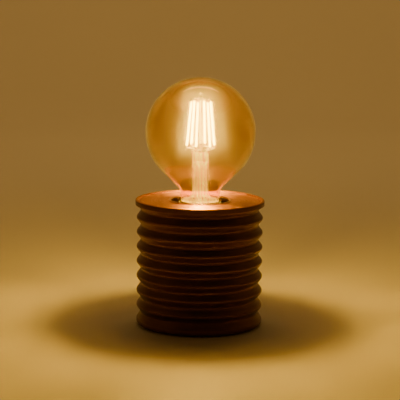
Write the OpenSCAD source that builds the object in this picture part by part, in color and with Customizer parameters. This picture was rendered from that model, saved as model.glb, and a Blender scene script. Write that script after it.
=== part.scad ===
// Table lamp in the shape of a light bulb: a ribbed metal base like a giant screw cap,
// with a smart globe bulb that screws into a lampholder inside it.
// Origin at the centre of the resting face, +Z up, cable inlet at the rear (+Y). Millimetres.

/* [Base] */
// Height of the base, from the table to the top of its seam
base_h = 110.6; // [104:0.1:116]
// Radius of the rib crests
crest_r = 55; // [53:0.1:58]
// Distance from one rib to the next
rib_pitch = 12.87; // [12:0.01:13.6]
// Radius of the rounding on the rib crests and in the grooves
rib_round = 2.6; // [2:0.1:3]
// Slope of the flanks between a crest and a groove, in degrees
rib_flank = 37; // [30:1:42]
// Height of the middle of the lowest rib, which is the foot
foot_z = 5; // [4:0.1:6]
// Outer radius of the seam that joins the top plate to the sleeve
seam_r = 56.2; // [55.8:0.1:57]
// Thickness of the sheet metal
sheet = 0.9; // [0.7:0.1:1]
// Depth of the top plate below the top of the seam
plate_drop = 1.2; // [0.8:0.1:2]
// Radius of the hole that the bulb passes through
hole_r = 25.1; // [23:0.1:27]

/* [Inlet and weight] */
// Height of the cable inlet at the rear
inlet_z = 24.3; // [24:0.1:24.6]
// Radius of the bore that the cable passes through
inlet_bore_r = 3.4; // [2.5:0.1:3.6]
// Thickness of the cast weight in the foot
weight_h = 8; // [5:1:9]

/* [Bulb] */
// Diameter of the glass globe
globe_d = 95; // [90:1:98]
// Length of the bulb, from its contact to the top of the globe
bulb_l = 140; // [139:0.5:142]
// Height of the bulb's contact above the table
tip_z = 76.8; // [76.8:0.1:77]
// Radius of the glass neck
neck_r = 17.5; // [17:0.1:18]
// Angle from the globe's lower pole to where its sphere runs into the neck's cone
cone_at = 43.5; // [42:0.5:45]
// Thickness of the globe's glass
glass_t = 0.9; // [0.7:0.1:1.1]
// Number of light-emitting filaments
filaments = 6; // [6:1:6]
// Radius of the circle on which the filaments stand, at the bottom
fan_low_r = 12.3; // [11:0.1:13]
// Radius of the same circle at the top
fan_top_r = 8.4; // [8:0.1:10]

/* [Screw cap] */
// Rise of the bulb for each turn
thread_p = 3.629; // [3.5:0.001:3.8]
// Radius of the crests of the bulb's thread
cap_crest_r = 13.1; // [13:0.05:13.15]
// Depth of the thread
thread_h = 1.05; // [1:0.01:1.1]
// Radial play between the bulb's thread and the holder's
thread_play = 0.4; // [0.35:0.05:0.45]

/* [Hidden] */
$fn = 48;

// base
plate_z = base_h - plate_drop;
seam_w = 2.4;
seam_low = base_h - 4.7;
seam_fold = 0.8;
ribs = 7;
foot_low = 0.8;
flank_l = (rib_pitch / 2 - 2 * rib_round * sin(rib_flank)) / cos(rib_flank);
rib_depth = 2 * rib_round * (1 - cos(rib_flank)) + flank_l * sin(rib_flank);
groove_r = crest_r - rib_depth;
sleeve_top_r = seam_r - 1;
base_low = 2.2;
base_t = 1.2;
base_r = 52.4;
pad_r = 41.5;
weight_r = 41;
weight_low = base_low + base_t;
weight_top = weight_low + weight_h;
tab_at = 46.4;
tab_t = 1.2;
weight_screw_at = 34;

// bracket and tube
strip_t = 1.5;
bracket_top = 45.5;
bracket_w = 26;
bracket_half = 20;
foot_l = 11;
bracket_screw_at = bracket_half + foot_l / 2;
tube_r = 5;
tube_bore_r = 3.6;
tube_low = 36.5;
tube_top = 52;

// lampholder, upwards from the bracket
dome_low = bracket_top;
dome_neck_h = 5;
dome_wide = 59;
skirt_low = 64;
skirt_r = 19.5;
core_r = 16.8;
core_low = 67.8;
core_floor = 75.2;
core_top = 78.6;
flange_t = 0.8;
skirt_top = 100.4;
sleeve_z = core_top + flange_t;
holder_top = 99.8;
well_r = 5;
well_floor = 69.5;
plunger_r = 4;
plunger_stem_r = 2.2;
head_t = 1.8;
terminal_at = 11;

// bulb, from its contact upwards
globe_r = globe_d / 2;
globe_z = tip_z + bulb_l - globe_r;
cone_r = globe_r * sin(cone_at);
cone_z = globe_z - globe_r * cos(cone_at);
neck_round = 8;
bend_r = neck_r + neck_round * (1 - cos(90 - cone_at));
bend_z = cone_z - (cone_r - bend_r) * tan(cone_at);
neck_z = bend_z - neck_round * sin(90 - cone_at);
neck_end = tip_z + 27.4;
cap_low = tip_z + 5.8;
cap_top = tip_z + 26.2;
cap_inner_r = 11.4;
collar_low = cap_top - 1.9;
collar_top = tip_z + 31.7;
thread_mid_r = cap_crest_r - thread_h / 2;
seal_z = 111;
flare_round = 7;
stem_r = 7;
stem_t = 1.1;
press_z = 142.5;
press_top = 151.5;
press_t = 4.4;
lead_at = 3.8;
lead_r = 0.4;
fan_low_z = 156.5;
fan_top_z = 197;
tab_l = 2.4;
fan_lean = atan((fan_low_r - fan_top_r) / (fan_top_z - fan_low_z));
fan_l = (fan_top_z - fan_low_z) / cos(fan_lean);
fan_turn = 12;
wire_r = 0.38;
post_r = 1.2;
post_top = 201;

around = 28;
rows_per_turn = 5;

// points of a round stretch in an outline, from angle a to angle b
function arc(c, r, a, b, steps = 4) =
    [for (i = [0 : steps]) c + r * [cos(a + (b - a) * i / steps), sin(a + (b - a) * i / steps)]];

// one rib of the sleeve's outline, upwards from the groove below it: d is the depth in from the outer face
function rib(z, d) = concat(
    [[groove_r - d, z - rib_pitch / 2]],
    arc([crest_r - rib_round, z], rib_round - d, -rib_flank, rib_flank, 2)
);

// the face of the sheet sleeve from the foot to the seam, d in from the outer face
function sleeve_face(d) = concat(
    [[crest_r - 1.4 - d, foot_low]],
    arc([crest_r - 3, foot_low + 3], 3 - d, -30, 0, 2),
    arc([crest_r - rib_round, foot_z], rib_round - d, 0, rib_flank, 1),
    [for (i = [1 : ribs]) each rib(foot_z + i * rib_pitch, d)],
    arc([groove_r + rib_round, foot_z + (ribs + 0.5) * rib_pitch], rib_round + d, 180, 180 - rib_flank, 2),
    [[sleeve_top_r - d, seam_low + 0.3], [sleeve_top_r - d, base_h - seam_fold - 0.1]]
);

function reversed(list) = [for (i = [len(list) - 1 : -1 : 0]) list[i]];

module copies_round(count, first = 0) {
    for (i = [0 : count - 1]) rotate([0, 0, first + i * 360 / count]) children();
}

// a wall of triangles through a list of rings, each with the same number of points
module ring_wall(rings, closed = false) {
    m = len(rings);
    n = len(rings[0]);
    last = closed ? m - 1 : m - 2;
    sides = [for (i = [0 : last]) for (j = [0 : n - 1])
        let (k = (j + 1) % n, up = ((i + 1) % m) * n)
        each [[i * n + j, up + j, up + k], [i * n + j, up + k, i * n + k]]];
    ends = closed ? [] : [[for (j = [0 : n - 1]) j], [for (j = [n - 1 : -1 : 0]) (m - 1) * n + j]];
    polyhedron(points = [for (ring = rings) each ring], faces = concat(sides, ends), convexity = 6);
}

function unit(v) = v / norm(v);

// a smooth route through hand-chosen points
function bend(a, b, c, d, t) =
    0.5 * (2 * b + t * (c - a) + t * t * (2 * a - 5 * b + 4 * c - d) + t * t * t * (3 * b - a - 3 * c + d));
function route(p, steps = 5) = concat(
    [for (i = [0 : len(p) - 2]) for (s = [0 : steps - 1])
        bend(p[max(i - 1, 0)], p[i], p[i + 1], p[min(i + 2, len(p) - 1)], s / steps)],
    [p[len(p) - 1]]
);

// a round wire along a route
module wire(path, r, sides = 8, level = [0.11, 0.93, 0.35]) {
    n = len(path);
    ring_wall([for (i = [0 : n - 1])
        let (
            way = unit(path[min(i + 1, n - 1)] - path[max(i - 1, 0)]),
            across = unit(cross(way, level)),
            other = cross(way, across)
        )
        [for (j = [0 : sides - 1]) path[i] + r * (across * cos(j * 360 / sides) + other * sin(j * 360 / sides))]]);
}

// a ring of the screw thread at height z. The thread runs out at both ends of its stretch: to its
// root on the bulb's cap (side -1), and to its widest in the lampholder (side 1)
function thread_fade(z, low, high) = max(0, min(1, (z - low) / 1.2, (high - z) / 1.2));
function thread_ring(z, mid_r, low, high, side) =
    let (fade = thread_fade(z, low, high))
    [for (j = [0 : around - 1]) let (a = j * 360 / around,
        r = mid_r + thread_h / 2 * (fade * cos(360 * (z - tip_z) / thread_p - a) + side * (1 - fade)))
        [r * cos(a), r * sin(a), z]];
function plain_ring(z, r) =
    [for (j = [0 : around - 1]) let (a = j * 360 / around) [r * cos(a), r * sin(a), z]];
function thread_rings(low, high, mid_r, side) =
    let (rows = ceil((high - low) / thread_p * rows_per_turn))
    [for (i = [0 : rows]) thread_ring(low + (high - low) * i / rows, mid_r, low, high, side)];

// a machine screw standing head up on z = 0, with its shank below
module screw(shank_r, shank_l, head_r, head_h, slot = 0.8) {
    difference() {
        union() {
            cylinder(r = head_r, h = head_h, $fn = 32);
            translate([0, 0, -shank_l]) cylinder(r = shank_r, h = shank_l, $fn = 24);
        }
        translate([-head_r - 1, -slot / 2, head_h - 0.7]) cube([2 * head_r + 2, slot, 2]);
    }
}

// ---- base ----

// spun steel sleeve with parallel ribs, and a punched hole for the inlet that widens a little outwards
module ribbed_sleeve() color("#5b3620") difference() {
    rotate_extrude() polygon(concat(sleeve_face(0), reversed(sleeve_face(sheet))));
    translate([0, 40, inlet_z]) rotate([-90, 0, 0]) cylinder(r1 = 4.6, r2 = 4.9, h = 30);
}

// pressed plate, folded down over the sleeve's edge into a seam
module top_plate() color("#8a5230") rotate_extrude() polygon(concat(
    [[hole_r + 1.3, plate_z - sheet], [hole_r + 1.3, plate_z], [seam_r - seam_w - 0.8, plate_z]],
    arc([seam_r - seam_w + 0.6, base_h - 0.6], 0.6, 180, 90, 3),
    arc([seam_r - 0.9, base_h - 0.9], 0.9, 90, 0, 4),
    arc([seam_r - 0.6, seam_low + 0.6], 0.6, 0, -90, 3),
    [
        [sleeve_top_r + 0.1, seam_low], [sleeve_top_r + 0.1, base_h - seam_fold],
        [sleeve_top_r - sheet - 0.1, base_h - seam_fold], [sleeve_top_r - sheet - 0.1, plate_z - sheet]
    ]
));

// eyelet that covers the cut edge of the hole
module hole_ring() color("#b98049") rotate_extrude() union() {
    translate([hole_r, plate_z - 3]) square([1.2, 3.2]);
    translate([hole_r, plate_z + 0.05]) square([2.6, 0.55]);
    translate([hole_r + 1.2, plate_z + 0.65]) circle(r = 0.6, $fn = 24);
}

module base_plate() color("#6f6f72") difference() {
    translate([0, 0, base_low]) cylinder(r = base_r, h = base_t);
    copies_round(3, 30) translate([tab_at, 0, 0]) cylinder(r = 2.2, h = 10, $fn = 24);
    copies_round(3, 90) translate([weight_screw_at, 0, base_low]) {
        cylinder(r1 = 3.7, r2 = 2.2, h = base_t, $fn = 24);
        translate([0, 0, -1]) cylinder(r = 2.2, h = 10, $fn = 24);
    }
}

module foot_pad() color("#1c1c1c") cylinder(r = pad_r, h = base_low);

// cast disc that steadies the lamp, tapped for the bracket and the earth screw
module cast_weight() color("#3b3b3d") difference() {
    translate([0, 0, weight_low]) cylinder(r = weight_r, h = weight_h);
    for (x = [-1, 1]) translate([x * bracket_screw_at, 0, weight_low + 1.5])
        cylinder(r = 2.05, h = weight_h, $fn = 24);
    copies_round(3, 90) translate([weight_screw_at, 0, weight_low - 1]) cylinder(r = 2.05, h = 7, $fn = 24);
    translate([0, -28, weight_low + 2]) cylinder(r = 2.05, h = weight_h, $fn = 24);
}

// countersunk screws that hold the weight to the base plate
module weight_screws() color("#9a9a9a") copies_round(3, 90)
    translate([weight_screw_at, 0, base_low]) difference() {
        union() {
            cylinder(r1 = 3.6, r2 = 2, h = base_t, $fn = 24);
            cylinder(r = 2, h = 6, $fn = 24);
        }
        translate([-4, -0.4, -1]) cube([8, 0.8, 1.6]);
    }

// three welded angles inside the sleeve that the base plate is screwed to
module sleeve_tabs() color("#6f6f72") copies_round(3, 30) difference() {
    union() {
        translate([41.6, -5, weight_low]) cube([groove_r - sheet - 0.2 - 41.6, 10, tab_t]);
        intersection() {
            translate([47, -5, weight_low]) cube([8, 10, 10.5]);
            difference() {
                cylinder(r = groove_r - sheet - 0.05, h = 20);
                cylinder(r = groove_r - sheet - 0.05 - tab_t, h = 40, center = true);
            }
        }
    }
    translate([tab_at, 0, 0]) cylinder(r = 1.75, h = 20, $fn = 24);
}

module tab_screws() color("#9a9a9a") copies_round(3, 30)
    translate([tab_at, 0, base_low]) mirror([0, 0, 1]) screw(1.7, 4.2, 3.4, 1.6);

// hat-shaped strip that carries the lampholder
module holder_bracket() color("#8b8b8e") difference() {
    union() {
        translate([-bracket_half, -bracket_w / 2, bracket_top - strip_t])
            cube([2 * bracket_half, bracket_w, strip_t]);
        for (x = [-bracket_half, bracket_half - strip_t]) translate([x, -bracket_w / 2, weight_top])
            cube([strip_t, bracket_w, bracket_top - weight_top - 0.01]);
        for (x = [-bracket_half - foot_l, bracket_half]) translate([x, -bracket_w / 2, weight_top])
            cube([foot_l, bracket_w, strip_t]);
    }
    cylinder(r = tube_r + 0.1, h = 60);
    for (x = [-1, 1]) translate([x * bracket_screw_at, 0, 0]) cylinder(r = 2.2, h = 20, $fn = 24);
}

module bracket_screws() color("#9a9a9a") for (x = [-1, 1])
    translate([x * bracket_screw_at, 0, weight_top + strip_t]) screw(2, 7, 3.5, 2.4);

// threaded tube that the lampholder stands on, hollow for the wires
module threaded_tube() color("#c9a24c") difference() {
    translate([0, 0, tube_low]) cylinder(r = tube_r, h = tube_top - tube_low);
    cylinder(r = tube_bore_r, h = 60);
}

module toothed_washer() color("#b0b0b0") translate([0, 0, bracket_top - strip_t - 0.8]) difference() {
    union() {
        cylinder(r = 7.6, h = 0.8);
        copies_round(12) translate([7, -0.7, 0.1]) cube([2, 1.4, 0.6]);
    }
    translate([0, 0, -1]) cylinder(r = tube_r + 0.1, h = 4);
}

module tube_nut() color("#c9a24c") translate([0, 0, bracket_top - strip_t - 3.8]) difference() {
    cylinder(r = 8.1, h = 3, $fn = 6);
    translate([0, 0, -1]) cylinder(r = tube_r + 0.05, h = 6);
}

// rubber bush in the rear of the sleeve; the cable itself is not part of the lamp
module inlet_grommet() color("#151515") translate([0, 0, inlet_z]) rotate([-90, 0, 0]) difference() {
    union() {
        translate([0, 0, groove_r - sheet - 1.6]) cylinder(r = 4.5, h = seam_r - 0.1 - groove_r + sheet + 1.6);
        translate([0, 0, groove_r - sheet - 1.6]) cylinder(r = 6, h = 1.2);
        translate([0, 0, crest_r + 0.1]) cylinder(r = 6, h = seam_r - crest_r - 0.2);
    }
    translate([0, 0, 40]) cylinder(r = inlet_bore_r, h = 30);
}

// ---- wiring in the base ----

block_z = weight_top;
block_y = 26;

module terminal_block() color("#e6e2d8") difference() {
    translate([-12, block_y - 7, block_z]) cube([24, 14, 11]);
    for (x = [-8, 0, 8]) {
        translate([x, block_y - 8, block_z + 4.5]) rotate([-90, 0, 0]) cylinder(r = 2.2, h = 16, $fn = 24);
        translate([x, block_y - 3.5, block_z + 4.5]) cylinder(r = 1.8, h = 8, $fn = 24);
        translate([x, block_y + 3.5, block_z + 4.5]) cylinder(r = 1.8, h = 8, $fn = 24);
    }
    for (x = [-4, 4]) translate([x, block_y - 8, block_z + 8]) cube([0.9, 16, 4]);
}

module terminal_tubes() color("#c9a24c") for (x = [-8, 0, 8])
    translate([x, block_y - 6, block_z + 4.5]) rotate([-90, 0, 0]) difference() {
        cylinder(r = 2.1, h = 12, $fn = 24);
        translate([0, 0, -1]) cylinder(r = 1.35, h = 14, $fn = 24);
    }

module block_screws() color("#9a9a9a") for (x = [-8, 0, 8]) for (y = [-3.5, 3.5])
    translate([x, block_y + y, block_z + 9.2]) screw(1, 2, 1.6, 1.2, 0.5);

module live_wire() color("#6b3a1e") wire(route([
    [-8, 23, 15.9], [-8, 15, 16.5], [-6, 6, 24], [-1.5, 0, 33], [-1.5, 0, 42], [-1.5, 0, 52],
    [-5, 3, 58], [-9.5, 4, 62.5], [-11, 0, 64.8]
]), 1.1);

module neutral_wire() color("#2f5f9e") wire(route([
    [8, 23, 15.9], [8, 15, 16.5], [6, 6, 24], [1.5, 0, 33], [1.5, 0, 42], [1.5, 0, 52],
    [5, -3, 58], [9.5, -4, 62.5], [11, 0, 64.8]
]), 1.1);

module earth_wire() color("#7d9b2f") wire(route([
    [0, 23, 15.9], [0, 15, 16], [4, 4, 14], [4, -10, 13.8], [1.5, -18, 14], [0, -22.4, 13.2]
]), 1.1);

module earth_tag() color("#b0b0b0") difference() {
    union() {
        translate([0, -28, weight_top]) cylinder(r = 4, h = 0.8);
        translate([-1.6, -28, weight_top]) cube([3.2, 7, 0.8]);
    }
    translate([0, -28, 0]) cylinder(r = 2.2, h = 20, $fn = 24);
}

module earth_screw() color("#c9a24c") translate([0, -28, weight_top + 0.8]) screw(2, 5, 3.5, 2.2);

// ---- lampholder ----

module holder_dome() color("#191817") difference() {
    rotate_extrude() polygon([
        [tube_r + 0.05, dome_low], [9.5, dome_low], [9.5, dome_low + dome_neck_h],
        [14.5, dome_low + dome_neck_h + 2.5], [skirt_r, dome_wide], [skirt_r, skirt_low - 0.1],
        [core_r + 0.1, skirt_low - 0.1], [core_r + 0.1, core_low], [14.6, core_low], [14.6, dome_wide],
        [11, dome_low + dome_neck_h + 2.4], [tube_r + 0.05, dome_low + dome_neck_h + 1.6]
    ]);
}

// ceramic insert that holds the contacts apart
module holder_core() color("#e9e4da") difference() {
    translate([0, 0, core_low]) cylinder(r = core_r, h = core_top - core_low);
    translate([0, 0, core_floor]) cylinder(r = 12.6, h = 10);
    translate([0, 0, well_floor]) cylinder(r = well_r, h = 10);
    cylinder(r = plunger_stem_r + 0.07, h = 100, $fn = 24);
    for (x = [-terminal_at, terminal_at]) {
        translate([x - 3, -4, core_low - 1]) cube([6, 8, 4.4]);
        translate([x, 0, core_low]) cylinder(r = 1.5, h = 6, $fn = 24);
    }
    translate([-terminal_at, -2, well_floor - 0.02]) cube([terminal_at, 4, 1]);
    translate([13.2, -2, core_low]) cube([1, 4, 20]);
}

module holder_skirt() color("#191817") rotate_extrude() polygon(concat(
    [[core_r + 0.2, skirt_low], [skirt_r, skirt_low]],
    arc([skirt_r - 1.2, skirt_top - 1.2], 1.2, 0, 90, 4),
    [[14.9, skirt_top], [14.9, sleeve_z + 0.05], [core_r + 0.2, sleeve_z + 0.05]]
));

// threaded sleeve that takes the bulb's cap
module holder_thread() color("#c8c2b4") ring_wall(reversed(concat(
    thread_rings(sleeve_z + 0.6, holder_top, thread_mid_r + thread_play, 1),
    [plain_ring(holder_top, 14.7), plain_ring(sleeve_z, 14.7), plain_ring(sleeve_z, 16.6),
        plain_ring(core_top + 0.05, 16.6), plain_ring(core_top + 0.05, thread_mid_r + thread_play)]
)), closed = true);

module live_strip() color("#c9a24c") difference() {
    union() {
        translate([0, 0, well_floor]) cylinder(r = 4.6, h = 0.6);
        translate([-terminal_at - 1.6, -1.8, well_floor]) cube([terminal_at + 1.6, 3.6, 0.6]);
    }
    translate([0, 0, 60]) cylinder(r = plunger_stem_r + 0.4, h = 20, $fn = 24);
    translate([-terminal_at, 0, 60]) cylinder(r = 1.1, h = 20, $fn = 24);
}

module neutral_strip() color("#c9a24c") difference() {
    union() {
        translate([terminal_at - 1.8, -1.8, core_low + 2.6]) cube([5, 3.6, 0.6]);
        translate([13.4, -1.8, core_low + 2.6]) cube([0.6, 3.6, core_top - core_low - 2.6]);
    }
    translate([terminal_at, 0, 60]) cylinder(r = 1.1, h = 20, $fn = 24);
}

module holder_screws() color("#9a9a9a") {
    for (x = [-terminal_at, terminal_at]) translate([x, 0, core_low + 0.2]) mirror([0, 0, 1])
        screw(1, 4.8, 2.2, 1.4, 0.6);
}

// ---- sprung centre contact ----

module contact_plunger() color("#c9a24c") {
    translate([0, 0, tip_z - head_t]) cylinder(r = plunger_r, h = head_t);
    translate([0, 0, core_low - 1.6]) cylinder(r = plunger_stem_r, h = tip_z - head_t - core_low + 1.7);
}

module plunger_clip() color("#9a9a9a") difference() {
    translate([0, 0, core_low - 0.75]) cylinder(r = 3.8, h = 0.6);
    translate([0, 0, core_low - 2]) cylinder(r = plunger_stem_r + 0.02, h = 4, $fn = 24);
    translate([0, -1.2, core_low - 2]) cube([6, 2.4, 4]);
}

spring_turns = 4;
spring_low = well_floor + 0.6 + 0.42;
spring_high = tip_z - head_t - 0.42;
module plunger_spring() color("#d8d8d8") wire([
    for (i = [0 : spring_turns * 12]) let (a = i * 30) [3.35 * cos(a), 3.35 * sin(a),
        spring_low + (spring_high - spring_low) * i / (spring_turns * 12)]
], 0.38, 6, [0, 0, 1]);

// ---- bulb cap ----

module cap_contact() color("#cdb06a") rotate_extrude() polygon([
    [0, tip_z], [3.4, tip_z], [4.4, tip_z + 0.7], [4.4, tip_z + 1.4], [2.2, tip_z + 1.4],
    [2.2, tip_z + 3], [0, tip_z + 3]
]);

module cap_insulator() color("#101014") rotate_extrude() polygon([
    [2.3, tip_z + 1.45], [5, tip_z + 1.45], [9.2, tip_z + 4.6], [11, cap_low - 0.05], [11, cap_low + 1.6],
    [8, cap_low + 1.6], [2.3, tip_z + 3.6]
]);

module cap_shell() color("#c4c4c0") ring_wall(concat(
    [plain_ring(cap_low, cap_inner_r - 0.2), plain_ring(cap_low, thread_mid_r - 1)],
    thread_rings(cap_low + 0.7, cap_top - 3, thread_mid_r, -1),
    [plain_ring(cap_top - 2.6, cap_crest_r - 0.1), plain_ring(cap_top, cap_crest_r - 0.1),
        plain_ring(cap_top, cap_inner_r)]
), closed = true);

// plastic collar that joins the glass to the cap
module neck_collar() color("#23211f") rotate_extrude() polygon(concat(
    [
        [cap_crest_r, collar_low], [cap_crest_r + 1.2, collar_low], [cap_crest_r + 1.2, cap_top - 0.8],
        [neck_r + 1.2, cap_top + 0.6]
    ],
    arc([neck_r + 0.65, collar_top - 0.55], 0.55, 0, 180, 4),
    [[neck_r + 0.1, neck_end - 0.1], [10.6, neck_end - 0.1], [10.6, cap_top + 0.1], [cap_crest_r, cap_top + 0.1]]
));

// ---- driver and radio in the cap ----

board_t = 1;
board_low = cap_low + 1.8;
board_top = tip_z + 29.5;

module driver_board() color("#2d6a3c") translate([-9, -board_t / 2, board_low])
    cube([18, board_t, board_top - board_low]);

module bulk_capacitor() color("#27272b") translate([-4.3, -5.2, board_low + 1.5]) union() {
    cylinder(r = 4, h = 11);
    translate([0, 0, 0.6]) cylinder(r = 4.15, h = 1);
}

module choke() color("#3a3a3a") translate([4.9, -4.5, board_low + 1.5]) union() {
    cylinder(r = 3.4, h = 1);
    cylinder(r = 2.4, h = 8);
    translate([0, 0, 7]) cylinder(r = 3.4, h = 1);
}

module bridge_rectifier() color("#1a1a1c") translate([-2.4, board_t / 2, board_low + 1.6]) cube([4.8, 1.5, 4]);

module driver_chip() color("#1a1a1c") translate([2, -board_t / 2 - 1.4, board_low + 12]) cube([4, 1.4, 5]);

module fuse_resistor() color("#7fa7b8") translate([0, 0, cap_low - 2.1]) union() {
    cylinder(r = 1.25, h = 3.2);
    translate([0, 0, -0.4]) cylinder(r = 0.35, h = 4.2, $fn = 16);
}

module radio_board() color("#20406b") translate([-5.5, board_t / 2 + 3.2, board_low + 7]) cube([11, 0.8, 14]);

module radio_shield() color("#b9bcc0") translate([-4.5, board_t / 2 + 4, board_low + 8]) cube([9, 1.8, 7]);

// pins between the two boards, and the leads up to the stem
module board_leads() color("#d6d2c8") {
    for (x = [-3, -1, 1, 3]) translate([x, board_t / 2, board_low + 7.8]) rotate([-90, 0, 0])
        cylinder(r = 0.3, h = 3.2, $fn = 16);
    for (x = [-1, 1]) translate([x * lead_at, 0, board_top]) cylinder(r = 0.55, h = 2.2, $fn = 16);
}

// ---- glass and filaments ----

// the face of the globe and neck from the neck's end to the pole, d in from the outer face
function globe_face(d) = concat(
    [[neck_r - d, neck_end], [neck_r - d, neck_z]],
    arc([neck_r + neck_round, neck_z], neck_round + d, 180, 90 + cone_at, 5),
    arc([0, globe_z], globe_r - d, cone_at - 90, 90, 28)
);

module glass_globe() color("#d98a2b", 0.35)
    rotate_extrude() polygon(concat(globe_face(0), reversed(globe_face(glass_t))));

// glass stem: flare sealed to the neck, tube, and the flat press that grips the lead wires
module stem_glass() color("#cfe3e6", 0.5) difference() {
    union() {
        rotate_extrude() polygon(concat(
            [[neck_r - glass_t - 0.05, seal_z - 1.4], [neck_r - glass_t - 0.05, seal_z]],
            arc([stem_r + flare_round, seal_z + flare_round], flare_round, 270, 180, 6),
            [[stem_r, press_z], [stem_r - stem_t, press_z]],
            arc([stem_r + flare_round, seal_z + flare_round - 0.3], flare_round + stem_t, 180, 260, 6)
        ));
        intersection() {
            translate([-stem_r, -press_t / 2, press_z - 1]) cube([2 * stem_r, press_t, press_top - press_z + 1]);
            cylinder(r = stem_r, h = 200);
        }
        translate([0, 0, press_z - 1]) cylinder(r = stem_r - stem_t + 0.3, h = 1.6);
    }
    for (x = [-1, 1]) translate([x * lead_at, 0, 120]) cylinder(r = lead_r + 0.03, h = 60, $fn = 16);
    translate([0, 0, 120]) cylinder(r = 1.1, h = press_z - 120 + 3, $fn = 24);
    translate([0, 0, press_top - 3]) cylinder(r = post_r + 0.02, h = 10, $fn = 24);
}

// the tube that the bulb was filled through, sealed off at its lower end
exhaust_low = 109.5;
module exhaust_tube() color("#cfe3e6", 0.5) translate([0, 0, exhaust_low]) difference() {
    union() {
        sphere(r = 2);
        cylinder(r = 2, h = press_z - 1.05 - exhaust_low);
    }
    cylinder(r = 1.1, h = 60, $fn = 24);
}

module lead_wires() color("#b8b3a8") for (x = [-1, 1]) translate([x * lead_at, 0, board_top + 2.25])
    cylinder(r = lead_r, h = press_top + 2 - board_top - 2.25, $fn = 16);

// two half rings that feed the lower ends of the filaments, three from each lead
module feed_wires() color("#b8b3a8") for (side = [0, 180]) rotate([0, 0, side]) {
    wire([[lead_at, 0, press_top + 2.4], [lead_at + 1.4, 0, press_top + 3.2], [9, 0, fan_low_z - 1.4],
        [fan_low_r - 0.45, 0, fan_low_z - 1.2]], lead_r);
    rotate([0, 0, -66]) translate([0, 0, fan_low_z - 1.2]) rotate_extrude(angle = 156)
        translate([fan_low_r, 0]) circle(r = wire_r, $fn = 24);
}

// places a filament's own upright frame on the fan
module on_fan(i) {
    rotate([0, 0, fan_turn + i * 360 / filaments]) translate([fan_low_r, 0, fan_low_z])
        rotate([0, -fan_lean, 0]) children();
}

module filament(i) color("#ffb347") on_fan(i) translate([0, 0, tab_l]) union() {
    cylinder(r = 1.05, h = fan_l - 2 * tab_l, $fn = 24);
    sphere(r = 1.05, $fn = 24);
    translate([0, 0, fan_l - 2 * tab_l]) sphere(r = 1.05, $fn = 24);
}

module filament_tabs() color("#d6d2c8") for (i = [0 : filaments - 1]) on_fan(i) {
    translate([-0.2, -0.7, -0.75]) cube([0.4, 1.4, tab_l - 0.35]);
    translate([-0.2, -0.7, fan_l - tab_l + 1.1]) cube([0.4, 1.4, tab_l - 0.9]);
}

module glass_post() color("#cfe3e6", 0.5) union() {
    translate([0, 0, press_top - 2.95]) cylinder(r = post_r, h = post_top - press_top + 2.95);
    translate([0, 0, post_top]) sphere(r = 1.9);
}

// ring that joins the upper ends of the filaments, held by three spokes set in the post
module top_wires() color("#b8b3a8") {
    translate([0, 0, fan_top_z + 1.1]) rotate_extrude() translate([fan_top_r, 0]) circle(r = wire_r, $fn = 24);
    copies_round(3, fan_turn + 30) translate([post_r + 0.05, 0, fan_top_z + 1.1]) rotate([0, 90, 0])
        cylinder(r = wire_r, h = fan_top_r - post_r - 0.1, $fn = 16);
}

ribbed_sleeve();
top_plate();
hole_ring();
base_plate();
foot_pad();
cast_weight();
weight_screws();
sleeve_tabs();
tab_screws();
holder_bracket();
bracket_screws();
threaded_tube();
toothed_washer();
tube_nut();
inlet_grommet();
terminal_block();
terminal_tubes();
block_screws();
live_wire();
neutral_wire();
earth_wire();
earth_tag();
earth_screw();
holder_dome();
holder_core();
holder_skirt();
holder_thread();
live_strip();
neutral_strip();
holder_screws();
contact_plunger();
plunger_clip();
plunger_spring();
cap_contact();
cap_insulator();
cap_shell();
neck_collar();
driver_board();
bulk_capacitor();
choke();
bridge_rectifier();
driver_chip();
fuse_resistor();
radio_board();
radio_shield();
board_leads();
glass_globe();
stem_glass();
exhaust_tube();
lead_wires();
feed_wires();
filament_tabs();
glass_post();
top_wires();
filament(0);  // filament_1
filament(1);  // filament_2
filament(2);  // filament_3
filament(3);  // filament_4
filament(4);  // filament_5
filament(5);  // filament_6
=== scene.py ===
# A ribbed copper-brown table lamp with a smart filament globe bulb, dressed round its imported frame.
# Blender works in metres, and so do the camera, floor and lights here. The lamp's own sizes are in
# millimetres, as on its drawing, and +Z is up.
import math

import bmesh
import bpy
from mathutils import Matrix, Vector


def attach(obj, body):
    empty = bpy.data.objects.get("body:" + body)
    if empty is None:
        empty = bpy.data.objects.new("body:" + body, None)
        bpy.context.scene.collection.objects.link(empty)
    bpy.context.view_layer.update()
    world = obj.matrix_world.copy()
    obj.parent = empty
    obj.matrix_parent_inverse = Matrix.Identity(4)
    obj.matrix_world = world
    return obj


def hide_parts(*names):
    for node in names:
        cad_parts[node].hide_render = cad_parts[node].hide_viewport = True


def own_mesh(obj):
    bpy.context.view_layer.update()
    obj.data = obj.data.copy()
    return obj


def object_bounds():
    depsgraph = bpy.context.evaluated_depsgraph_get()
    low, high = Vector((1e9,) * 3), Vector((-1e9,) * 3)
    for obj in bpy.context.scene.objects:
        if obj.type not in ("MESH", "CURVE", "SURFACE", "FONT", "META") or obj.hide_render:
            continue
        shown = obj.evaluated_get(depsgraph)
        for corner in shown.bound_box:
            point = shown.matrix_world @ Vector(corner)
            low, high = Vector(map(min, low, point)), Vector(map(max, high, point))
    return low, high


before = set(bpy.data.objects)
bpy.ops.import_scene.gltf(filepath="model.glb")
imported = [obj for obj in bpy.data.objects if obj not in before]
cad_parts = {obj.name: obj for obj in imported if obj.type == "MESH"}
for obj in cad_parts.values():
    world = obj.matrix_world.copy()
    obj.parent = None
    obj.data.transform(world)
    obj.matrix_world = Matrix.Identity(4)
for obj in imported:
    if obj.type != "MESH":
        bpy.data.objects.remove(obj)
cad_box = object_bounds()
lamp_low, lamp_high = cad_box

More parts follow.
